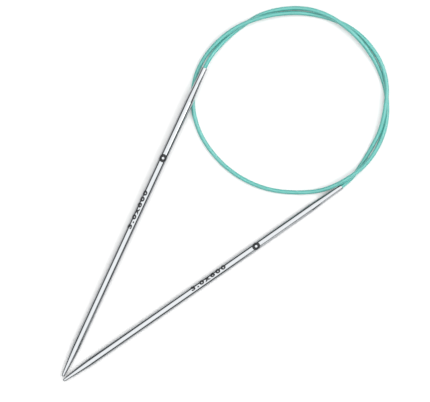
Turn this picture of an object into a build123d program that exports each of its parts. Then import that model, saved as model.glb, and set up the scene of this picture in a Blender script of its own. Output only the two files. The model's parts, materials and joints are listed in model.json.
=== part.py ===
from build123d import *
import os
from math import asin, atan, cos, degrees, pi, radians, sin, tan

# A circular knitting needle of 60 cm: two rigid steel tips joined by one coated cable. It lies on a table as it
# is stored: the tips make a narrow V, and the cord runs from tip to tip in a loose loop of one and a half turns.
# All sizes are in millimetres. +Y runs along the V, from the points towards the loop, and +Z is up. The origin
# is on the table, in the middle of the two tips.

# Each tip, from its point to its mouth, where the cord comes out
TIP_LENGTH = 122.7
SHANK_DIAMETER = 3.0
TUBE_WALL = 0.3
POINT_LENGTH = 12.0
POINT_END_DIAMETER = 1.15
POINT_BELLY = 0.08  # how far the taper bows out from a plain cone
POINT_SPIGOT = 8.0  # the part of the point that is pressed into the tube
NECK_LENGTH = 6.5
NECK_WALL = 0.27
NECK_FLARE = 0.08  # how much thicker the neck's wall is at its cone
CONE_LENGTH = 7.0
COLLAR_SPIGOT = 5.0
EDGE_BREAK = 0.05

# The cord: a plastic jacket on a steel rope, with a crimped ferrule on each end of the rope
CORD_DIAMETER = 1.5
ROPE_DIAMETER = 0.8
JACKET_INSERT = 3.5  # how far the jacket reaches into the neck
CORD_LEAD = 3.2  # how far the cord stays straight outside the mouth
FERRULE_LENGTH = 5.0
FERRULE_BREAK = 0.15

# Clearances
TURN_CLEARANCE = 0.03  # round the jacket and the rope, in the collar that turns on them
FERRULE_CLEARANCE = 0.08  # round the ferrule, in the tube
FACE_CLEARANCE = 0.1  # between faces that turn past each other
LAY_CLEARANCE = 0.12  # between strands, and under the tip that lies on a strand
CREST_RISE = 0.7  # how much higher a strand passes over the right mouth than over another strand

# Where the tips lie: the middle of each mouth, and the gap between the two points
MOUTH_HALF_GAP = 32.7
LEFT_MOUTH_Y = 59.7
RIGHT_MOUTH_Y = 58.7
POINT_GAP = 1.2
STRAND_CROSSING = 11.1  # from the left mouth back to where the cord passes under that tip

# Worked out from those
shank_radius = SHANK_DIAMETER / 2
tube_bore = shank_radius - TUBE_WALL
cord_radius = CORD_DIAMETER / 2
rope_radius = ROPE_DIAMETER / 2
jacket_bore = cord_radius + TURN_CLEARANCE
rope_bore = rope_radius + TURN_CLEARANCE
mouth_radius = jacket_bore + NECK_WALL
neck_radius = mouth_radius + NECK_FLARE
collar_end = NECK_LENGTH + CONE_LENGTH
ferrule_start = collar_end + COLLAR_SPIGOT + FACE_CLEARANCE
ferrule_end = ferrule_start + FERRULE_LENGTH
shoulder = TIP_LENGTH - POINT_LENGTH
rope_tail = ferrule_end - JACKET_INSERT

# The right tip lies flat. The left one lies on the table by its point and on a strand by its shank.
lean = asin((MOUTH_HALF_GAP - POINT_GAP / 2) / TIP_LENGTH)
lift = atan((CORD_DIAMETER + LAY_CLEARANCE) / (shoulder - STRAND_CROSSING))
left_mouth = Vector(-MOUTH_HALF_GAP, LEFT_MOUTH_Y, shank_radius + shoulder * tan(lift))
right_mouth = Vector(MOUTH_HALF_GAP, RIGHT_MOUTH_Y, shank_radius)
left_out = Vector(-sin(lean) * cos(lift), cos(lean) * cos(lift), sin(lift))
right_out = Vector(sin(lean), cos(lean), 0)

# Heights of the cord's middle: on the table, over another strand, between the two, and over the right mouth
LOW = cord_radius
HIGH = LOW + CORD_DIAMETER + LAY_CLEARANCE
HALFWAY = (LOW + HIGH) / 2
CREST = HIGH + CREST_RISE

# The cord's route between its two straight leads
LOOP = [
    (-33.8, 69.7, HALFWAY),
    (-32.9, 77.5, LOW),
    (-29.2, 90.3, LOW),
    (-16.2, 102.4, HIGH),
    (1.6, 104.6, HIGH),
    (18.7, 99.4, LOW),
    (30.9, 87.8, LOW),
    (35.2, 72.0, CREST),
    (31.2, 57.5, CREST),
    (24.8, 48.7, LOW),
    (11.3, 39.2, LOW),
    (-5.7, 36.4, LOW),
    (-22.8, 41.4, LOW),
    (-34.9, 55.2, LOW),
    (-35.8, 73.9, HIGH),
    (-27.9, 89.3, HIGH),
    (-15.3, 100.7, LOW),
    (1.7, 106.4, LOW),
    (19.8, 100.9, HIGH),
    (30.0, 85.3, HIGH),
    (32.2, 75.6, LOW),
    (33.2, 68.6, LOW),
]
ARC_SHARE = 0.45  # how much of the shorter run beside a bend its arc takes up


def tip_plane(mouth, outward):
    """A tip's own plane: X runs from its mouth to its point, and Y is square to that and up."""
    along = -outward
    return Plane(origin=mouth, x_dir=along, z_dir=along.cross(Vector(0, 0, 1)))


def tip_axis(seat):
    return Axis(seat.origin, seat.x_dir)


def cross_section(seat, distance):
    """The plane square to a tip's axis, at a distance from its mouth."""
    return Plane(origin=seat.origin + seat.x_dir * distance, z_dir=seat.x_dir)


def make_shank_tube(seat):
    with BuildPart() as tube:
        with BuildSketch(cross_section(seat, collar_end)):
            Circle(shank_radius)
            Circle(tube_bore, mode=Mode.SUBTRACT)
        extrude(amount=shoulder - collar_end)
    return tube.part


def make_point(seat):
    end_radius = POINT_END_DIAMETER / 2
    nose = TIP_LENGTH - end_radius
    with BuildPart() as point:
        with BuildSketch(seat):
            with BuildLine():
                Polyline(
                    (TIP_LENGTH, 0),
                    (shoulder - POINT_SPIGOT, 0),
                    (shoulder - POINT_SPIGOT, tube_bore - EDGE_BREAK),
                    (shoulder - POINT_SPIGOT + EDGE_BREAK, tube_bore),
                    (shoulder, tube_bore),
                    (shoulder, shank_radius),
                )
                SagittaArc((shoulder, shank_radius), (nose, end_radius), POINT_BELLY)
                CenterArc((nose, 0), end_radius, 0, 90)
            make_face()
        revolve(axis=tip_axis(seat))
    return point.part


def make_cord_collar(seat):
    """The neck and cone at the mouth. The rope passes through its floor, and the ferrule pulls up against it."""
    floor = JACKET_INSERT + FACE_CLEARANCE
    spigot_end = collar_end + COLLAR_SPIGOT
    with BuildPart() as collar:
        with BuildSketch(seat):
            with BuildLine():
                Polyline(
                    (0, jacket_bore),
                    (0, mouth_radius - EDGE_BREAK),
                    (EDGE_BREAK, mouth_radius),
                    (NECK_LENGTH, neck_radius),
                    (collar_end, shank_radius),
                    (collar_end, tube_bore),
                    (spigot_end - EDGE_BREAK, tube_bore),
                    (spigot_end, tube_bore - EDGE_BREAK),
                    (spigot_end, rope_bore),
                    (floor, rope_bore),
                    (floor, jacket_bore),
                    close=True,
                )
            make_face()
        revolve(axis=tip_axis(seat))
    return collar.part


def make_ferrule(seat):
    with BuildPart() as ferrule:
        with BuildSketch(cross_section(seat, ferrule_start)):
            Circle(tube_bore - FERRULE_CLEARANCE)
            Circle(rope_radius, mode=Mode.SUBTRACT)
        extrude(amount=FERRULE_LENGTH)
        chamfer(ferrule.edges().filter_by(GeomType.CIRCLE).group_by(SortBy.RADIUS)[-1], FERRULE_BREAK)
    return ferrule.part


def bend_radii(points):
    """One radius for each bend of the route, as large as its two runs allow."""
    runs = [end - start for start, end in zip(points, points[1:])]
    radii = []
    for before, after in zip(runs, runs[1:]):
        turn = before.get_angle(after)
        radii.append(ARC_SHARE * min(before.length, after.length) / tan(radians(turn / 2)))
        print(f"run {before.length:.1f}, then a turn of {turn:.1f} degrees with radius {radii[-1]:.1f}")
    return radii


seats = {"left": tip_plane(left_mouth, left_out), "right": tip_plane(right_mouth, right_out)}
os.makedirs("parts", exist_ok=True)

for side, seat in seats.items():
    pieces = {
        "shank_tube": make_shank_tube(seat),
        "point": make_point(seat),
        "cord_collar": make_cord_collar(seat),
        "crimp_ferrule": make_ferrule(seat),
    }
    for name, piece in pieces.items():
        piece.label = f"{side}_{name}"
        export_step(piece, f"parts/{piece.label}.step")

route = [
    left_mouth - left_out * JACKET_INSERT,
    left_mouth + left_out * CORD_LEAD,
    *[Vector(*point) for point in LOOP],
    right_mouth + right_out * CORD_LEAD,
    right_mouth - right_out * JACKET_INSERT,
]
with BuildLine() as cord_path:
    FilletPolyline(*route, radius=bend_radii(route))
jacket_end = Plane(origin=cord_path.line @ 0, z_dir=cord_path.line % 0)

with BuildPart() as cord_jacket:
    with BuildSketch(jacket_end):
        Circle(cord_radius)
        Circle(rope_radius, mode=Mode.SUBTRACT)
    sweep(path=cord_path.line)

# The rope goes on straight past both ends of the jacket, through the collars and the ferrules.
with BuildPart() as cord_rope:
    with BuildSketch(jacket_end):
        Circle(rope_radius)
    sweep(path=cord_path.line)
    for seat in seats.values():
        with BuildSketch(cross_section(seat, JACKET_INSERT)):
            Circle(rope_radius)
        extrude(amount=rope_tail)

cord_length = cord_path.wire().length
jacket_section = pi * (cord_radius**2 - rope_radius**2)
print(f"cord: {cord_length:.1f} long, {cord_length - 2 * JACKET_INSERT:.1f} of it outside the tips")
print(f"jacket: volume {cord_jacket.part.volume:.2f}, section times length {jacket_section * cord_length:.2f}")
print(f"tips: {degrees(2 * lean):.2f} degrees apart, left tip lifted by {degrees(lift):.2f} degrees")

cord_jacket.part.label = "cord_jacket"
export_step(cord_jacket.part, "parts/cord_jacket.step")
cord_rope.part.label = "cord_rope"
export_step(cord_rope.part, "parts/cord_rope.step")
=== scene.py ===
import json
from math import atan2, cos, hypot, pi, radians, sin

import bmesh
import bpy
from bpy.props import (
    FloatProperty,
    FloatVectorProperty,
    IntProperty,
    PointerProperty,
    StringProperty,
)
from mathutils import Matrix, Vector


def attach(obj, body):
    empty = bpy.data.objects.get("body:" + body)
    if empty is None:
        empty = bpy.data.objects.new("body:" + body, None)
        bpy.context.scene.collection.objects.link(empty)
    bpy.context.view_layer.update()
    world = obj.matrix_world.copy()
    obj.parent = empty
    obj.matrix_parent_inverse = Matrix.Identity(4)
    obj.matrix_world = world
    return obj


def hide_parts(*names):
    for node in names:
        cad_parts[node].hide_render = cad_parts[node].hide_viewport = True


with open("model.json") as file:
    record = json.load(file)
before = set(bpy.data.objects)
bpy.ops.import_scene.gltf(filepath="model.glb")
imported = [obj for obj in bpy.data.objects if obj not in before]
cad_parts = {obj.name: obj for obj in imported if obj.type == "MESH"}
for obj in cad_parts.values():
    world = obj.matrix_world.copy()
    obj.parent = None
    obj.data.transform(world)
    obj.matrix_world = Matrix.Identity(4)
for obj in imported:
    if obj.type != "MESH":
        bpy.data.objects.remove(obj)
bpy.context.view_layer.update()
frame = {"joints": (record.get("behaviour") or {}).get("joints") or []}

bl_info = {
    "name": "Circular Knitting Needle",
    "version": (1, 0, 0),
    "blender": (4, 5, 0),
    "location": "3D Viewport > Sidebar > Knitting Needle",
    "description": "Builds a circular knitting needle: two steel tips that turn on one coated cord",
    "category": "Add Mesh",
}

# Every object lies in the frame's own space, in metres: +Z is up, and the table is at height 0.
MM = 0.001
SIDES = ("left", "right")

# The cord's middle, between the straight leads at its two ends
LOOP = (
    (-0.0338, 0.0697, 0.00156),
    (-0.0329, 0.0775, 0.00075),
    (-0.0292, 0.0903, 0.00075),
    (-0.0162, 0.1024, 0.00237),
    (0.0016, 0.1046, 0.00237),
    (0.0187, 0.0994, 0.00075),
    (0.0309, 0.0878, 0.00075),
    (0.0352, 0.0720, 0.00307),
    (0.0312, 0.0575, 0.00307),
    (0.0248, 0.0487, 0.00075),
    (0.0113, 0.0392, 0.00075),
    (-0.0057, 0.0364, 0.00075),
    (-0.0228, 0.0414, 0.00075),
    (-0.0349, 0.0552, 0.00075),
    (-0.0358, 0.0739, 0.00237),
    (-0.0279, 0.0893, 0.00237),
    (-0.0153, 0.1007, 0.00075),
    (0.0017, 0.1064, 0.00075),
    (0.0198, 0.1009, 0.00237),
    (0.0300, 0.0853, 0.00237),
    (0.0322, 0.0756, 0.00075),
    (0.0332, 0.0686, 0.00075),
)
# The share of its bend that a lead's end leans back, so that the spline runs down the middle of the mouth
LEAD_COUNTER = 0.09
# Edges that turn by more than this stay sharp
SHARP_ANGLE = radians(32)

# Where two turned pieces meet flush, their edges are rounded by this share of the others' rounding
SEAM_SHARE = 0.4

CARD_RADIUS = 3.0
CARD_FACETS = 96
SENSOR_WIDTH = 36  # millimetres
# The studio's walls are dark below the first height and white above the second. Each height is the sine of
# the angle above the table.
WALL_DARK_TO = 0.50
WALL_WHITE_FROM = 0.80
WALL_DARK = (0.03, 0.035, 0.035, 1)
WALL_WHITE = (1, 1, 1, 1)
WALL_STRENGTH = 2.35
# A large softbox over the camera's right, and a small gridded one, low down, that shines at the right mouth.
# Each has what it aims at, its place from there in metres (to the camera's right, to its top, and up), its
# width in metres, its power in watts, and how wide its beam is in degrees.
LIGHTS = (
    ("key_softbox", "table", (0.753, 0.264, 0.602), 0.8, 5.0, 180),
    ("gridded_softbox", "mouth", (0.278, -0.302, 0.1), 0.12, 0.0022, 25),
)


def linear(code):
    """An sRGB hex colour as linear RGBA."""
    channels = [int(code[at:at + 2], 16) / 255 for at in (0, 2, 4)]
    return (*[c / 12.92 if c <= 0.04045 else ((c + 0.055) / 1.055) ** 2.4 for c in channels], 1.0)


def size(name, value, description):
    """A length that a user can change, given in millimetres."""
    return FloatProperty(
        name=name, description=description, default=value * MM, min=0, precision=6, unit="LENGTH"
    )


def colour(name, code, description):
    return FloatVectorProperty(
        name=name, description=description, default=linear(code), size=4, min=0, max=1, subtype="COLOR"
    )


# ---------------------------------------------------------------- sizes and colours


class TipSettings(bpy.types.PropertyGroup):
    """A steel tip. Distances along it are from its mouth, where the cord comes out."""

    length: size("Length", 122.7, "From the mouth to the end of the point")
    diameter: size("Diameter", 3.0, "Across the shank")
    wall: size("Wall", 0.3, "Thickness of the shank's tube")
    point_length: size("Point Length", 12.0, "How long the taper is")
    point_end: size("Point End", 1.15, "Across the rounded end of the point")
    point_belly: size("Point Belly", 0.08, "How far the taper bows out from a plain cone")
    spigot: size("Point Spigot", 8.0, "The part of the point that is pressed into the tube")
    neck_length: size("Neck Length", 6.5, "The thin part at the mouth")
    neck_diameter: size("Neck Diameter", 2.1, "Across the neck at the mouth")
    neck_end_diameter: size("Neck End Diameter", 2.26, "Across the neck where its cone starts")
    cone_length: size("Cone Length", 7.0, "From the neck to the shank")
    collar_spigot: size("Collar Spigot", 5.0, "The part of the collar that is pressed into the tube")
    edge: size("Edge Radius", 0.05, "Rounding of the turned edges")
    facets: IntProperty(name="Facets", description="Faces round a tip", default=64, min=12, max=128)
    steel: colour("Steel", "A8AAAC", "Polished stainless steel")


class CordSettings(bpy.types.PropertyGroup):
    """The coated cord: a nylon jacket on a wire rope that is crimped into two ferrules."""

    length: size("Length", 351.0, "From one end of the jacket to the other")
    diameter: size("Diameter", 1.5, "Across the jacket")
    bore: size("Jacket Bore", 0.8, "Across the hole that the rope fills")
    insert: size("Insert", 3.5, "How far the jacket reaches into a tip")
    lead: size("Lead", 3.2, "How far the cord runs straight outside a tip")
    edge: size("Edge Radius", 0.06, "Rounding of the jacket's cut ends")
    facets: IntProperty(name="Facets", description="Faces round the jacket", default=24, min=8, max=64)
    strands: IntProperty(name="Strands", description="Wires round the rope's core", default=6, min=3, max=12)
    lay: size("Lay Length", 6.0, "How far a strand runs in one turn round the core")
    nylon: colour("Nylon", "50A69E", "Teal jacket")
    wire: colour("Wire", "A9ADB0", "Drawn steel wire")


class FerruleSettings(bpy.types.PropertyGroup):
    """The brass ferrule on each end of the rope, inside a tip."""

    start: size("Start", 18.6, "From the mouth to the ferrule")
    length: size("Length", 5.0, "Along the rope")
    diameter: size("Diameter", 2.24, "Across the ferrule before it is crimped")
    chamfer: size("Chamfer", 0.15, "Bevel of its ends")
    dent: size("Dent Depth", 0.1, "How deep the crimping jaws press")
    jaws: IntProperty(name="Jaws", description="Dents round a ferrule", default=6, min=3, max=8)
    brass: colour("Brass", "C9A75C", "Crimped brass")


class MarkSettings(bpy.types.PropertyGroup):
    """The size etched into each shank, and a plain ring beside it."""

    text: StringProperty(name="Text", description="Diameter and length in millimetres", default="3.0x600")
    text_length: size("Text Length", 15.0, "Along the shank")
    text_height: size("Text Height", 1.8, "Round the shank")
    text_turn: FloatProperty(
        name="Text Turn", description="How far the text sits round the shank from its top",
        default=radians(26), subtype="ANGLE",
    )
    text_centre: size("Text Centre", 56.5, "From the mouth to the middle of the text")
    ring_centre: size("Ring Centre", 35.8, "From the mouth to the middle of the ring")
    right_shift: size("Right Tip Shift", 1.9, "How much farther from the mouth the right tip is marked")
    ring_diameter: size("Ring Diameter", 3.0, "Across the ring, measured round the shank")
    ring_width: size("Ring Width", 1.05, "Width of the ring's line")
    depth: size("Depth", 0.012, "How far the oxide stands on the steel")
    oxide: colour("Oxide", "191A1C", "Laser-etched mark")


class StageSettings(bpy.types.PropertyGroup):
    """The table, lights and camera."""

    camera_height: size("Camera Height", 1000.0, "From the table to the lens")
    picture_width: size("Picture Width", 155.66, "What the camera sees across the table")
    turn: FloatProperty(
        name="Camera Turn", description="How far the camera is turned about the vertical",
        default=radians(39.92), subtype="ANGLE",
    )
    centre: FloatVectorProperty(
        name="Centre", description="Where the camera points, on the table",
        default=(0.95 * MM, 25.30 * MM), size=2, unit="LENGTH",
    )
    card: colour("Table", "E4E4E4", "Matte white card")


GROUPS = {
    "needle_tip": TipSettings,
    "needle_cord": CordSettings,
    "needle_ferrule": FerruleSettings,
    "needle_mark": MarkSettings,
    "needle_stage": StageSettings,
}


# ---------------------------------------------------------------- nodes and materials


def add_node(tree, kind, settings=(), inputs=()):
    """Adds a node, with its settings by name, and its inputs by name or number.
    Each input is a value, or an output to link."""
    node = tree.nodes.new(kind)
    for name, value in dict(settings).items():
        setattr(node, name, value)
    for key, value in dict(inputs).items():
        if isinstance(value, bpy.types.NodeSocket):
            tree.links.new(value, node.inputs[key])
        else:
            node.inputs[key].default_value = value
    return node


def new_material(name):
    """A node material and its empty tree. A material of that name that is already there is emptied."""
    material = bpy.data.materials.get(name) or bpy.data.materials.new(name)
    material.use_nodes = True
    material.node_tree.nodes.clear()
    return material, material.node_tree


def polished_stainless_steel(settings):
    """Centreless-ground and buffed stainless: mirror-like, with hair-fine grinding lines round it and wipe
    marks along it."""
    material, tree = new_material("polished_stainless_steel")
    place = add_node(tree, "ShaderNodeUVMap", {"uv_map": "UVMap"})
    # Grinding lines run round the tip, so the pattern is stretched across U. Real ones are about 0.01 mm
    # apart. These are 0.12 mm apart, as coarse as they need to be to show.
    grind_scale = add_node(
        tree, "ShaderNodeMapping", {}, {"Vector": place.outputs["UV"], "Scale": (0.12, 8.0, 1.0)}
    )
    grind = add_node(
        tree, "ShaderNodeTexNoise", {"noise_dimensions": "2D"},
        {"Vector": grind_scale.outputs["Vector"], "Scale": 1.0, "Detail": 3.0, "Roughness": 0.6},
    )
    # Buffing leaves soft streaks along the tip, about 0.5 mm wide and 20 mm long.
    buff_scale = add_node(
        tree, "ShaderNodeMapping", {}, {"Vector": place.outputs["UV"], "Scale": (2.0, 0.05, 1.0)}
    )
    buff = add_node(
        tree, "ShaderNodeTexNoise", {"noise_dimensions": "2D"},
        {"Vector": buff_scale.outputs["Vector"], "Scale": 1.0, "Detail": 2.0},
    )
    gloss = add_node(
        tree, "ShaderNodeMapRange", {},
        {"Value": buff.outputs["Fac"], "From Min": 0.3, "From Max": 0.7, "To Min": 0.07, "To Max": 0.15},
    )
    tone = add_node(
        tree, "ShaderNodeMix", {"data_type": "RGBA"},
        {0: buff.outputs["Fac"], 6: settings.steel, 7: linear("9DA0A3")},
    )
    relief = add_node(
        tree, "ShaderNodeBump", {}, {"Strength": 0.25, "Distance": 0.002 * MM, "Height": grind.outputs["Fac"]}
    )
    shader = add_node(
        tree, "ShaderNodeBsdfPrincipled", {},
        {
            "Base Color": tone.outputs[2],
            "Metallic": 1.0,
            "Roughness": gloss.outputs["Result"],
            "Normal": relief.outputs["Normal"],
        },
    )
    add_node(tree, "ShaderNodeOutputMaterial", {}, {"Surface": shader.outputs["BSDF"]})
    return material


def extruded_nylon(settings):
    """Pressure-extruded nylon: glossy and slightly waxy, with faint die lines and clouded pigment."""
    material, tree = new_material("extruded_teal_nylon")
    place = add_node(tree, "ShaderNodeUVMap", {"uv_map": "UVMap"})
    # Die lines run along the cord, 0.15 mm apart.
    die_scale = add_node(
        tree, "ShaderNodeMapping", {}, {"Vector": place.outputs["UV"], "Scale": (6.5, 0.06, 1.0)}
    )
    die = add_node(
        tree, "ShaderNodeTexNoise", {"noise_dimensions": "2D"},
        {"Vector": die_scale.outputs["Vector"], "Scale": 1.0, "Detail": 2.0},
    )
    # The pigment clouds a little, in patches about 4 mm long.
    cloud_scale = add_node(
        tree, "ShaderNodeMapping", {}, {"Vector": place.outputs["UV"], "Scale": (0.3, 0.25, 1.0)}
    )
    cloud = add_node(
        tree, "ShaderNodeTexNoise", {"noise_dimensions": "2D"},
        {"Vector": cloud_scale.outputs["Vector"], "Scale": 1.0, "Detail": 3.0},
    )
    tone = add_node(
        tree, "ShaderNodeMix", {"data_type": "RGBA"},
        {0: cloud.outputs["Fac"], 6: settings.nylon, 7: linear("479990")},
    )
    gloss = add_node(
        tree, "ShaderNodeMapRange", {},
        {"Value": cloud.outputs["Fac"], "From Min": 0.3, "From Max": 0.7, "To Min": 0.18, "To Max": 0.28},
    )
    relief = add_node(
        tree, "ShaderNodeBump", {}, {"Strength": 0.3, "Distance": 0.006 * MM, "Height": die.outputs["Fac"]}
    )
    shader = add_node(
        tree, "ShaderNodeBsdfPrincipled", {},
        {
            "Base Color": tone.outputs[2],
            "Roughness": gloss.outputs["Result"],
            "IOR": 1.53,
            "Subsurface Weight": 0.4,
            "Subsurface Radius": (0.5, 1.0, 0.95),
            "Subsurface Scale": 0.6 * MM,
            "Coat Weight": 0.5,
            "Coat Roughness": 0.12,
            "Normal": relief.outputs["Normal"],
        },
    )
    add_node(tree, "ShaderNodeOutputMaterial", {}, {"Surface": shader.outputs["BSDF"]})
    return material


def drawn_steel_wire(settings):
    """Drawn wire: bright grey, with dull patches where the die's soap has stayed."""
    material, tree = new_material("drawn_steel_wire")
    place = add_node(tree, "ShaderNodeTexCoord")
    soap = add_node(
        tree, "ShaderNodeTexNoise", {},
        {"Vector": place.outputs["Object"], "Scale": 1 / (0.4 * MM), "Detail": 2.0},
    )
    gloss = add_node(
        tree, "ShaderNodeMapRange", {},
        {"Value": soap.outputs["Fac"], "From Min": 0.3, "From Max": 0.7, "To Min": 0.28, "To Max": 0.42},
    )
    tone = add_node(
        tree, "ShaderNodeMix", {"data_type": "RGBA"},
        {0: soap.outputs["Fac"], 6: settings.wire, 7: linear("8C9093")},
    )
    shader = add_node(
        tree, "ShaderNodeBsdfPrincipled", {},
        {"Base Color": tone.outputs[2], "Metallic": 1.0, "Roughness": gloss.outputs["Result"]},
    )
    add_node(tree, "ShaderNodeOutputMaterial", {}, {"Surface": shader.outputs["BSDF"]})
    return material


def crimped_brass(settings):
    """Turned brass that has been squeezed: satin yellow metal, with browner patches of tarnish."""
    material, tree = new_material("crimped_brass")
    place = add_node(tree, "ShaderNodeTexCoord")
    tarnish = add_node(
        tree, "ShaderNodeTexNoise", {},
        {"Vector": place.outputs["Object"], "Scale": 1 / (0.9 * MM), "Detail": 3.0},
    )
    tone = add_node(
        tree, "ShaderNodeMix", {"data_type": "RGBA"},
        {0: tarnish.outputs["Fac"], 6: settings.brass, 7: linear("A8813F")},
    )
    gloss = add_node(
        tree, "ShaderNodeMapRange", {},
        {"Value": tarnish.outputs["Fac"], "From Min": 0.3, "From Max": 0.7, "To Min": 0.22, "To Max": 0.36},
    )
    shader = add_node(
        tree, "ShaderNodeBsdfPrincipled", {},
        {"Base Color": tone.outputs[2], "Metallic": 1.0, "Roughness": gloss.outputs["Result"]},
    )
    add_node(tree, "ShaderNodeOutputMaterial", {}, {"Surface": shader.outputs["BSDF"]})
    return material


def etched_oxide(settings):
    """Laser-etched steel: a matte blue-black oxide, a little uneven in its tone."""
    material, tree = new_material("laser_etched_oxide")
    place = add_node(tree, "ShaderNodeTexCoord")
    burn = add_node(
        tree, "ShaderNodeTexNoise", {},
        {"Vector": place.outputs["Object"], "Scale": 1 / (0.25 * MM), "Detail": 2.0},
    )
    tone = add_node(
        tree, "ShaderNodeMix", {"data_type": "RGBA"},
        {0: burn.outputs["Fac"], 6: settings.oxide, 7: linear("2B2D30")},
    )
    shader = add_node(
        tree, "ShaderNodeBsdfPrincipled", {},
        {"Base Color": tone.outputs[2], "Metallic": 0.3, "Roughness": 0.6},
    )
    add_node(tree, "ShaderNodeOutputMaterial", {}, {"Surface": shader.outputs["BSDF"]})
    return material


def matte_card(settings):
    """Matte white card: bright, with no gloss and a barely uneven tone."""
    material, tree = new_material("matte_white_card")
    place = add_node(tree, "ShaderNodeTexCoord")
    fibre = add_node(
        tree, "ShaderNodeTexNoise", {},
        {"Vector": place.outputs["Object"], "Scale": 1 / (30 * MM), "Detail": 2.0},
    )
    tone = add_node(
        tree, "ShaderNodeMix", {"data_type": "RGBA"},
        {0: fibre.outputs["Fac"], 6: settings.card, 7: linear("E2E2E2")},
    )
    shader = add_node(
        tree, "ShaderNodeBsdfPrincipled", {},
        {"Base Color": tone.outputs[2], "Roughness": 0.9, "Specular IOR Level": 0.1},
    )
    add_node(tree, "ShaderNodeOutputMaterial", {}, {"Surface": shader.outputs["BSDF"]})
    return material


# ---------------------------------------------------------------- shapes


def tip_seat(side):
    """A tip's own space. X runs from its mouth to its point. Z is square to that, as upright as it can be."""
    joint = next(j for j in frame["joints"] if j["name"] == f"{side}_swivel")
    along = -Vector(joint["axis"]).normalized()
    across = Vector((0, 0, 1)).cross(along).normalized()
    seat = Matrix((along, across, along.cross(across))).transposed().to_4x4()
    seat.translation = Vector(joint["pos_m"])
    return seat


def show(mesh, name, material):
    """Puts a finished mesh in the scene, smooth but for its edges. An older piece of that name gives way."""
    old = bpy.data.objects.get(name)
    if old is not None:
        bpy.data.objects.remove(old)
    mesh.name = name
    mesh.materials.clear()
    mesh.materials.append(material)
    mesh.shade_smooth()
    mesh.set_sharp_from_angle(angle=SHARP_ANGLE)
    piece = bpy.data.objects.new(name, mesh)
    bpy.context.scene.collection.objects.link(piece)
    return piece


def skin(rings, facets, looped=False):
    """A closed mesh through rings of points. Each ring is its middle, two directions across it, its radius,
    and how far along the piece it is. A ring with no radius is a pole. The UV map is in millimetres, round
    the piece and along it."""
    girth = 2 * pi * max(ring[3] for ring in rings) / MM
    points, starts = [], []
    for middle, first, second, radius, _ in rings:
        starts.append(len(points))
        turns = [2 * pi * step / facets for step in range(facets)] if radius > 0 else [0]
        points += [middle + (first * cos(turn) + second * sin(turn)) * radius for turn in turns]
    faces, places = [], []
    pairs = list(zip(range(len(rings)), range(1, len(rings))))
    if looped:
        pairs.append((len(rings) - 1, 0))
    for near, far in pairs:
        sharp_near, sharp_far = rings[near][3] == 0, rings[far][3] == 0
        for step in range(facets):
            after = (step + 1) % facets
            corners = [
                (near, step, step), (near, after, step + 1), (far, after, step + 1), (far, step, step),
            ]
            if sharp_near:
                corners.pop(1)
            if sharp_far:
                corners.pop(-2)
            faces.append([starts[ring] + (0 if rings[ring][3] == 0 else at) for ring, at, _ in corners])
            places += [(girth * at / facets, rings[ring][4] / MM) for ring, _, at in corners]
    mesh = bpy.data.meshes.new("skin")
    mesh.from_pydata(points, [], faces)
    mesh.uv_layers.new(name="UVMap").data.foreach_set("uv", [value for place in places for value in place])
    shape = bmesh.new()
    shape.from_mesh(mesh)
    bmesh.ops.recalc_face_normals(shape, faces=shape.faces)
    shape.to_mesh(mesh)
    shape.free()
    return mesh


def turned(profile, seat, facets, looped=False):
    """Turns a profile of (distance, radius) points round a tip's axis, as a lathe does."""
    along, across, up = (seat.col[axis].to_3d() for axis in range(3))
    run, rings = 0, []
    for at, (distance, radius) in enumerate(profile):
        if at:
            run += hypot(distance - profile[at - 1][0], radius - profile[at - 1][1])
        rings.append((seat.translation + along * distance, across, up, radius, run))
    return skin(rings, facets, looped)


def round_corner(before, corner, after, radius, steps=3):
    """The points of an arc that rounds one corner of a profile."""
    before, corner, after = Vector(before), Vector(corner), Vector(after)
    to_before, to_after = (before - corner).normalized(), (after - corner).normalized()
    half = to_before.angle(to_after) / 2
    reach = radius / abs(sin(half) / cos(half))
    middle = corner + (to_before + to_after).normalized() * (radius / sin(half))
    start, end = corner + to_before * reach - middle, corner + to_after * reach - middle
    turn = start.angle_signed(end)
    arc = []
    for step in range(steps + 1):
        arm = start.copy()
        arm.rotate(Matrix.Rotation(-turn * step / steps, 2))
        arc.append(tuple(middle + arm))
    return arc


def rounded(corners):
    """A closed profile from (distance, radius, rounding) corners. A corner with no rounding stays sharp."""
    profile = []
    for at, (distance, radius, rounding) in enumerate(corners):
        if rounding:
            before, after = corners[at - 1], corners[(at + 1) % len(corners)]
            profile += round_corner(before[:2], (distance, radius), after[:2], rounding)
        else:
            profile.append((distance, radius))
    return profile


def bowed_taper(start, end, belly, steps=28):
    """Points along an arc from start to end that bows out by belly from the straight line."""
    start, end = Vector(start), Vector(end)
    out = Vector((-(end - start).y, (end - start).x)).normalized()
    points = []
    for step in range(steps + 1):
        bow = 4 * belly * step / steps * (1 - step / steps)
        points.append(tuple(start.lerp(end, step / steps) + out * bow))
    return points


def turn_steel(profile, settings, name, node, looped=True):
    """Turns one steel piece for each tip. It rides on its tip and stands for that tip's CAD node."""
    for side in SIDES:
        mesh = turned(profile, tip_seat(side), settings.facets, looped)
        piece = show(mesh, f"{side}_{name}", polished_stainless_steel(settings))
        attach(piece, f"{side}_tip")
        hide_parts(f"{side}_{node}")


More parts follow.
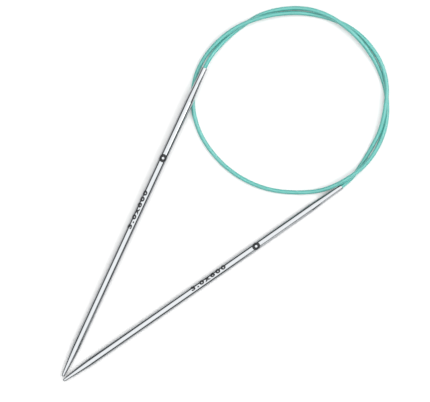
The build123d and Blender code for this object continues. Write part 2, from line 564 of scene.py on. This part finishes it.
def cord_line(settings):
    """Points along the cord's middle, read from one smooth spline through its route."""
    ends = []
    for side, beside in zip(SIDES, (LOOP[0], LOOP[-1])):
        seat = tip_seat(side)
        inward = seat.col[0].to_3d()
        lead = seat.translation - inward * settings.lead
        bend = Vector(beside) - lead
        bend -= inward * bend.dot(inward)
        ends.append((seat.translation + inward * settings.insert, lead - bend * LEAD_COUNTER))
    (first, lead_out), (last, lead_in) = ends
    route = [first, lead_out, *[Vector(point) for point in LOOP], lead_in, last]
    curve = bpy.data.curves.new("cord_route", "CURVE")
    curve.dimensions = "3D"
    curve.resolution_u = 24
    spline = curve.splines.new("NURBS")
    spline.points.add(len(route) - 1)
    for point, place in zip(spline.points, route):
        point.co = (*place, 1)
    spline.order_u = 3
    spline.use_endpoint_u = True
    holder = bpy.data.objects.new("cord_route", curve)
    bpy.context.scene.collection.objects.link(holder)
    bpy.context.view_layer.update()
    line = bpy.data.meshes.new_from_object(holder)
    points = [vertex.co.copy() for vertex in line.vertices]
    bpy.data.objects.remove(holder)
    bpy.data.curves.remove(curve)
    bpy.data.meshes.remove(line)
    return points


def carried_frames(points):
    """Two directions across the line at each of its points, carried along it without twisting."""
    frames, across = [], None
    for at in range(len(points)):
        before, after = points[max(at - 1, 0)], points[min(at + 1, len(points) - 1)]
        along = (after - before).normalized()
        across = across or Vector((0, 0, 1)).cross(along)
        across = (across - along * across.dot(along)).normalized()
        frames.append((along, across, along.cross(across)))
    return frames


# ---------------------------------------------------------------- operators


class NEEDLE_OT_stage(bpy.types.Operator):
    """Lay a white card, hang soft lights over it and point the camera straight down"""

    bl_idname = "needle.stage"
    bl_label = "Stage, Lights and Camera"

    def execute(self, context):
        settings = context.scene.needle_stage
        middle = Vector((*settings.centre, 0))
        right = Matrix.Rotation(settings.turn, 3, "Z") @ Vector((1, 0, 0))
        up = Matrix.Rotation(settings.turn, 3, "Z") @ Vector((0, 1, 0))

        camera = bpy.data.objects.new("camera", bpy.data.cameras.new("camera"))
        camera.data.sensor_width = SENSOR_WIDTH
        camera.data.lens = SENSOR_WIDTH * settings.camera_height / settings.picture_width
        camera.data.clip_end = 100
        camera.location = middle + Vector((0, 0, settings.camera_height))
        camera.rotation_euler = (0, 0, settings.turn)
        context.scene.collection.objects.link(camera)
        context.scene.camera = camera

        card = bpy.data.meshes.new("card")
        shape = bmesh.new()
        bmesh.ops.create_circle(
            shape, cap_ends=True, cap_tris=True, segments=CARD_FACETS, radius=CARD_RADIUS
        )
        shape.to_mesh(card)
        shape.free()
        floor = show(card, "card", matte_card(settings))

        aims = {"table": middle, "mouth": tip_seat("right").translation}
        for name, aim, (aside, ahead, above), width, power, beam in LIGHTS:
            place = right * aside + up * ahead + Vector((0, 0, above))
            lamp = bpy.data.lights.new(name, "AREA")
            lamp.size = width
            lamp.energy = power
            lamp.spread = radians(beam)
            light = bpy.data.objects.new(name, lamp)
            light.location = aims[aim] + place
            light.rotation_euler = place.to_track_quat("Z", "Y").to_euler()
            context.scene.collection.objects.link(light)

        world = bpy.data.worlds.new("studio")
        world.use_nodes = True
        tree = world.node_tree
        tree.nodes.clear()
        sky = add_node(tree, "ShaderNodeTexCoord")
        height = add_node(tree, "ShaderNodeSeparateXYZ", {}, {"Vector": sky.outputs["Generated"]})
        ramp = add_node(tree, "ShaderNodeValToRGB", {}, {"Fac": height.outputs["Z"]})
        stops = ((WALL_DARK_TO, WALL_DARK), (WALL_WHITE_FROM, WALL_WHITE))
        for stop, (place, tone) in zip(ramp.color_ramp.elements, stops):
            stop.position = place
            stop.color = tone
        glow = add_node(
            tree, "ShaderNodeBackground", {}, {"Color": ramp.outputs["Color"], "Strength": WALL_STRENGTH}
        )
        add_node(tree, "ShaderNodeOutputWorld", {}, {"Surface": glow.outputs["Background"]})
        context.scene.world = world
        context.scene.view_settings.view_transform = "Standard"
        return {"FINISHED"}


class NEEDLE_OT_rope(bpy.types.Operator):
    """Lay the strands of the wire rope round their core, from one ferrule to the other"""

    bl_idname = "needle.rope"
    bl_label = "Wire Rope"

    def strand_tree(self):
        """The node tree that turns a line into a laid rope."""
        tree = bpy.data.node_groups.new("laid_rope", "GeometryNodeTree")
        face = tree.interface
        face.new_socket("Geometry", in_out="INPUT", socket_type="NodeSocketGeometry")
        face.new_socket("Geometry", in_out="OUTPUT", socket_type="NodeSocketGeometry")
        for name, kind in (
            ("Rope Diameter", "NodeSocketFloat"),
            ("Lay Length", "NodeSocketFloat"),
            ("Strands", "NodeSocketInt"),
            ("Steps per Lay", "NodeSocketInt"),
            ("Facets", "NodeSocketInt"),
            ("Wire", "NodeSocketMaterial"),
        ):
            face.new_socket(name, in_out="INPUT", socket_type=kind)
        given = add_node(tree, "NodeGroupInput").outputs
        # The core and the strands are one size, and each strand lies against the core.
        wire = add_node(
            tree, "ShaderNodeMath", {"operation": "DIVIDE"}, {0: given["Rope Diameter"], 1: 3.0}
        ).outputs[0]
        step = add_node(
            tree, "ShaderNodeMath", {"operation": "DIVIDE"},
            {0: given["Lay Length"], 1: given["Steps per Lay"]},
        ).outputs[0]
        line = add_node(tree, "GeometryNodeMeshToCurve", {}, {"Mesh": given["Geometry"]})
        even = add_node(
            tree, "GeometryNodeResampleCurve", {"mode": "LENGTH"},
            {"Curve": line.outputs["Curve"], "Length": step},
        ).outputs["Curve"]
        copies = add_node(
            tree, "GeometryNodeDuplicateElements", {"domain": "SPLINE"},
            {"Geometry": even, "Amount": given["Strands"]},
        )
        run = add_node(tree, "GeometryNodeSplineParameter").outputs["Length"]
        turns = add_node(
            tree, "ShaderNodeMath", {"operation": "DIVIDE"}, {0: run, 1: given["Lay Length"]}
        ).outputs[0]
        share = add_node(
            tree, "ShaderNodeMath", {"operation": "DIVIDE"},
            {0: copies.outputs["Duplicate Index"], 1: given["Strands"]},
        ).outputs[0]
        turned_by = add_node(tree, "ShaderNodeMath", {"operation": "ADD"}, {0: turns, 1: share}).outputs[0]
        angle = add_node(
            tree, "ShaderNodeMath", {"operation": "MULTIPLY"}, {0: turned_by, 1: 2 * pi}
        ).outputs[0]
        normal = add_node(tree, "GeometryNodeInputNormal").outputs[0]
        tangent = add_node(tree, "GeometryNodeInputTangent").outputs[0]
        side = add_node(
            tree, "ShaderNodeVectorMath", {"operation": "CROSS_PRODUCT"}, {0: tangent, 1: normal}
        ).outputs[0]
        parts = []
        for direction, trig in ((normal, "COSINE"), (side, "SINE")):
            wave = add_node(tree, "ShaderNodeMath", {"operation": trig}, {0: angle}).outputs[0]
            reach = add_node(
                tree, "ShaderNodeMath", {"operation": "MULTIPLY"}, {0: wave, 1: wire}
            ).outputs[0]
            parts.append(
                add_node(
                    tree, "ShaderNodeVectorMath", {"operation": "SCALE"}, {0: direction, "Scale": reach}
                ).outputs[0]
            )
        offset = add_node(
            tree, "ShaderNodeVectorMath", {"operation": "ADD"}, {0: parts[0], 1: parts[1]}
        ).outputs[0]
        laid = add_node(
            tree, "GeometryNodeSetPosition", {}, {"Geometry": copies.outputs["Geometry"], "Offset": offset}
        ).outputs["Geometry"]
        half = add_node(tree, "ShaderNodeMath", {"operation": "MULTIPLY"}, {0: wire, 1: 0.5}).outputs[0]
        section = add_node(
            tree, "GeometryNodeCurvePrimitiveCircle", {}, {"Resolution": given["Facets"], "Radius": half}
        ).outputs["Curve"]
        joined = add_node(tree, "GeometryNodeJoinGeometry")
        for curve in (laid, even):
            wires = add_node(
                tree, "GeometryNodeCurveToMesh", {},
                {"Curve": curve, "Profile Curve": section, "Fill Caps": True},
            )
            tree.links.new(wires.outputs["Mesh"], joined.inputs[0])
        real = add_node(tree, "GeometryNodeRealizeInstances", {}, {"Geometry": joined.outputs[0]})
        finish = add_node(
            tree, "GeometryNodeSetMaterial", {}, {"Geometry": real.outputs[0], "Material": given["Wire"]}
        )
        add_node(tree, "NodeGroupOutput", {}, {0: finish.outputs[0]})
        return tree

    def execute(self, context):
        settings, ferrule = context.scene.needle_cord, context.scene.needle_ferrule
        tails = []
        for side in SIDES:
            seat = tip_seat(side)
            tails.append(seat @ Vector((ferrule.start + ferrule.length, 0, 0)))
        points = [tails[0], *cord_line(settings), tails[1]]
        line = bpy.data.meshes.new("rope_line")
        line.from_pydata(points, [(at, at + 1) for at in range(len(points) - 1)], [])
        holder = bpy.data.objects.new("rope_line", line)
        context.scene.collection.objects.link(holder)
        wire = drawn_steel_wire(settings)
        modifier = holder.modifiers.new("laid_rope", "NODES")
        modifier.node_group = self.strand_tree()
        values = {
            "Rope Diameter": settings.bore,
            "Lay Length": settings.lay,
            "Strands": settings.strands,
            "Steps per Lay": 14,
            "Facets": 6,
            "Wire": wire,
        }
        for item in modifier.node_group.interface.items_tree:
            if item.in_out == "INPUT" and item.name in values:
                modifier[item.identifier] = values[item.name]
        context.view_layer.update()
        mesh = bpy.data.meshes.new_from_object(holder.evaluated_get(context.evaluated_depsgraph_get()))
        holder.modifiers.remove(modifier)
        bpy.data.objects.remove(holder)
        if not mesh.polygons:
            raise RuntimeError("the rope's node tree made no faces")
        rope = show(mesh, "wire_rope", wire)
        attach(rope, "cord")
        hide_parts("cord_rope")
        return {"FINISHED"}


class NEEDLE_OT_ferrules(bpy.types.Operator):
    """Crimp a brass ferrule on each end of the rope"""

    bl_idname = "needle.ferrules"
    bl_label = "Crimp Ferrules"

    def execute(self, context):
        settings, cord = context.scene.needle_ferrule, context.scene.needle_cord
        outer, inner = settings.diameter / 2, cord.bore / 2
        start, end, cut = settings.start, settings.start + settings.length, settings.chamfer
        facets, steps = 48, 40
        # As shares of the length: how far a row of dents is from the middle, and how far it spreads
        row_place, row_spread = 0.22, 0.14
        wall = [
            (start + cut + (settings.length - 2 * cut) * step / steps, outer) for step in range(steps + 1)
        ]
        profile = [(start, inner), (start, outer - cut), *wall, (end, outer - cut), (end, inner)]
        for side in SIDES:
            seat = tip_seat(side)
            mesh = turned(profile, seat, facets, looped=True)
            home = seat.inverted()
            for vertex in mesh.vertices:
                place = home @ vertex.co
                radius = hypot(place.y, place.z)
                in_bore = radius < (inner + outer) / 2
                if in_bore:
                    continue
                # Two rows of dents, each pressed by jaws that stand evenly round the ferrule
                along = (place.x - start) / settings.length
                row = max(0, 1 - abs(abs(along - 0.5) - row_place) / row_spread)
                jaw = 0.5 + 0.5 * cos(settings.jaws * atan2(place.z, place.y))
                squeeze = 1 - settings.dent / outer * row * row * (3 - 2 * row) * jaw
                vertex.co = seat @ Vector((place.x, place.y * squeeze, place.z * squeeze))
            ferrule = show(mesh, f"{side}_brass_ferrule", crimped_brass(settings))
            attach(ferrule, "cord")
            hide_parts(f"{side}_crimp_ferrule")
        return {"FINISHED"}


class NEEDLE_OT_cord(bpy.types.Operator):
    """Extrude the nylon jacket along the cord's line, over its rope"""

    bl_idname = "needle.cord"
    bl_label = "Cord Jacket"

    def execute(self, context):
        settings = context.scene.needle_cord
        points = cord_line(settings)
        frames = carried_frames(points)
        runs = [0]
        for start, end in zip(points, points[1:]):
            runs.append(runs[-1] + (end - start).length)
        outer, inner, edge = settings.diameter / 2, settings.bore / 2, settings.edge

        def ring(at, radius, shift=0.0):
            along, across, up = frames[at]
            return (points[at] + along * shift, across, up, radius, runs[at] + shift)

        last = len(points) - 1
        cut = [(edge * (1 - cos(turn)), edge * (1 - sin(turn))) for turn in (0, pi / 6, pi / 3, pi / 2)]
        rings = [ring(0, outer - back, shift) for shift, back in cut]
        rings += [ring(at, outer) for at in range(1, last)]
        rings += [ring(last, outer - back, -shift) for shift, back in reversed(cut)]
        rings += [ring(at, inner) for at in range(last, -1, -1)]
        mesh = skin(rings, settings.facets, looped=True)
        jacket = show(mesh, "cord_nylon_jacket", extruded_nylon(settings))
        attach(jacket, "cord")
        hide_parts("cord_jacket")
        tip_seat("left").translation
        return {"FINISHED"}


class NEEDLE_OT_shanks(bpy.types.Operator):
    """Turn the steel tube of each shank"""

    bl_idname = "needle.shanks"
    bl_label = "Shank Tubes"

    def execute(self, context):
        settings = context.scene.needle_tip
        start = settings.neck_length + settings.cone_length
        end = settings.length - settings.point_length
        outer, edge = settings.diameter / 2, settings.edge * SEAM_SHARE
        inner = outer - settings.wall
        profile = rounded(
            [(start, inner, edge), (start, outer, edge), (end, outer, edge), (end, inner, edge)]
        )
        turn_steel(profile, settings, "steel_shank", "shank_tube")
        return {"FINISHED"}


class NEEDLE_OT_points(bpy.types.Operator):
    """Turn the tapered point of each tip, with the spigot that its tube is pressed on"""

    bl_idname = "needle.points"
    bl_label = "Points"

    def execute(self, context):
        settings = context.scene.needle_tip
        outer = settings.diameter / 2
        inner = outer - settings.wall
        shoulder = settings.length - settings.point_length
        tail, edge, end = shoulder - settings.spigot, settings.edge, settings.point_end / 2
        nose = settings.length - end
        spigot = round_corner((tail, 0), (tail, inner), (shoulder, inner), edge)
        profile = [(tail, 0), *spigot, (shoulder, inner)]
        profile += bowed_taper((shoulder, outer), (nose, end), settings.point_belly)
        steps = 10
        for step in range(1, steps):
            turn = radians(90 * step / steps)
            profile.append((nose + end * sin(turn), end * cos(turn)))
        profile.append((settings.length, 0))
        turn_steel(profile, settings, "steel_point", "point", looped=False)
        return {"FINISHED"}


class NEEDLE_OT_collars(bpy.types.Operator):
    """Turn the neck and cone at each mouth, which turn on the cord"""

    bl_idname = "needle.collars"
    bl_label = "Cord Collars"

    def execute(self, context):
        settings, cord = context.scene.needle_tip, context.scene.needle_cord
        # Room round the cord and the rope, room behind the jacket's end, and the soft bend from neck to cone
        clearance, gap, neck_bend = 0.03 * MM, 0.1 * MM, 40 * MM
        bore, rope_bore = cord.diameter / 2 + clearance, cord.bore / 2 + clearance
        outer = settings.diameter / 2
        inner = outer - settings.wall
        cone = settings.neck_length + settings.cone_length
        end, floor, edge = cone + settings.collar_spigot, cord.insert + gap, settings.edge
        profile = rounded(
            [
                (0, bore, edge),
                (0, settings.neck_diameter / 2, edge),
                (settings.neck_length, settings.neck_end_diameter / 2, neck_bend),
                (cone, outer, edge * SEAM_SHARE),
                (cone, inner, 0),
                (end, inner, edge),
                (end, rope_bore, edge),
                (floor, rope_bore, 0),
                (floor, bore, 0),
            ]
        )
        turn_steel(profile, settings, "steel_collar", "cord_collar")
        return {"FINISHED"}


class NEEDLE_OT_marks(bpy.types.Operator):
    """Etch the size and a plain ring on each shank"""

    bl_idname = "needle.marks"
    bl_label = "Etched Marks"

    def flat_text(self, context, settings):
        """The size as a flat shape, centred, as long and as high as the settings say."""
        letters = bpy.data.curves.new("size_text", "FONT")
        letters.body = settings.text
        # Set wide and slightly bold
        letters.space_character = 1.35
        letters.offset = 0.055
        letters.resolution_u = 4
        holder = bpy.data.objects.new("size_text", letters)
        context.scene.collection.objects.link(holder)
        context.view_layer.update()
        mesh = bpy.data.meshes.new_from_object(holder.evaluated_get(context.evaluated_depsgraph_get()))
        bpy.data.objects.remove(holder)
        bpy.data.curves.remove(letters)
        shape = bmesh.new()
        shape.from_mesh(mesh)
        bpy.data.meshes.remove(mesh)
        bmesh.ops.remove_doubles(shape, verts=shape.verts, dist=1e-5)
        xs, ys = ([vertex.co[axis] for vertex in shape.verts] for axis in (0, 1))
        long, high = settings.text_length / (max(xs) - min(xs)), settings.text_height / (max(ys) - min(ys))
        stretch = Vector((long, high, 1))
        middle = Vector(((max(xs) + min(xs)) / 2, (max(ys) + min(ys)) / 2, 0))
        for vertex in shape.verts:
            vertex.co = (vertex.co - middle) * stretch
        # Cut across, so that the letters can bend round the shank.
        cuts = 16
        for cut in range(1, cuts):
            height = settings.text_height * (cut / cuts - 0.5)
            bmesh.ops.bisect_plane(
                shape, geom=shape.verts[:] + shape.edges[:] + shape.faces[:],
                plane_co=(0, height, 0), plane_no=(0, 1, 0), dist=1e-7,
            )
        return shape

    def flat_ring(self, settings):
        """The ring as a flat shape."""
        shape = bmesh.new()
        steps, rows, outer = 56, 4, settings.ring_diameter / 2
        grid = []
        for row in range(rows + 1):
            radius = outer - settings.ring_width * row / rows
            turns = [2 * pi * step / steps for step in range(steps)]
            grid.append([shape.verts.new((radius * cos(turn), radius * sin(turn), 0)) for turn in turns])
        for near, far in zip(grid, grid[1:]):
            for step in range(steps):
                after = (step + 1) % steps
                shape.faces.new((near[step], near[after], far[after], far[step]))
        return shape

    def wrap(self, shape, seat, radius, depth, distance, turn):
        """Thickens a flat shape and lays it round the shank, reading towards the mouth. Its underside lies
        just inside the steel, and turn is how far it sits round the shank from the top."""
        sheet = bmesh.ops.extrude_face_region(shape, geom=shape.faces[:])["geom"]
        raised = [item for item in sheet if isinstance(item, bmesh.types.BMVert)]
        bmesh.ops.translate(shape, verts=raised, vec=(0, 0, depth))
        sunk = depth * 0.2
        for vertex in shape.verts:
            x, y, z = vertex.co
            angle, reach = turn + y / radius, radius + z - sunk
            vertex.co = seat @ Vector((distance - x, -reach * sin(angle), reach * cos(angle)))
        bmesh.ops.recalc_face_normals(shape, faces=shape.faces)
        mesh = bpy.data.meshes.new("mark")
        shape.to_mesh(mesh)
        shape.free()
        return mesh

    def execute(self, context):
        settings = context.scene.needle_mark
        radius = context.scene.needle_tip.diameter / 2
        oxide = etched_oxide(settings)
        for side, shift in zip(SIDES, (0.0, settings.right_shift)):
            seat = tip_seat(side)
            for name, shape, distance, turn in (
                ("size_mark", self.flat_text(context, settings), settings.text_centre, settings.text_turn),
                ("ring_mark", self.flat_ring(settings), settings.ring_centre, 0.0),
            ):
                mesh = self.wrap(shape, seat, radius, settings.depth, distance + shift, turn)
                mark = show(mesh, f"{side}_{name}", oxide)
                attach(mark, f"{side}_tip")
        return {"FINISHED"}


OPERATORS = (
    NEEDLE_OT_stage,
    NEEDLE_OT_rope,
    NEEDLE_OT_ferrules,
    NEEDLE_OT_cord,
    NEEDLE_OT_shanks,
    NEEDLE_OT_points,
    NEEDLE_OT_collars,
    NEEDLE_OT_marks,
)


class NEEDLE_PT_pieces(bpy.types.Panel):
    """Makes the needle piece by piece"""

    bl_label = "Knitting Needle"
    bl_idname = "NEEDLE_PT_pieces"
    bl_space_type = "VIEW_3D"
    bl_region_type = "UI"
    bl_category = "Knitting Needle"

    def draw(self, context):
        layout = self.layout
        for operator in OPERATORS:
            layout.operator(operator.bl_idname)
        for name, group in GROUPS.items():
            box = layout.box()
            box.label(text=group.__name__.removesuffix("Settings"))
            for prop in group.__annotations__:
                box.prop(getattr(context.scene, name), prop)


def register():
    for group in GROUPS.values():
        bpy.utils.register_class(group)
    for name, group in GROUPS.items():
        setattr(bpy.types.Scene, name, PointerProperty(type=group))
    for kind in (*OPERATORS, NEEDLE_PT_pieces):
        bpy.utils.register_class(kind)


def unregister():
    for kind in (NEEDLE_PT_pieces, *reversed(OPERATORS)):
        bpy.utils.unregister_class(kind)
    for name, group in GROUPS.items():
        delattr(bpy.types.Scene, name)
        bpy.utils.unregister_class(group)


def main():
    register()
    for operator in OPERATORS:
        group, name = operator.bl_idname.split(".")
        getattr(getattr(bpy.ops, group), name)()


if __name__ == "__main__":
    main()
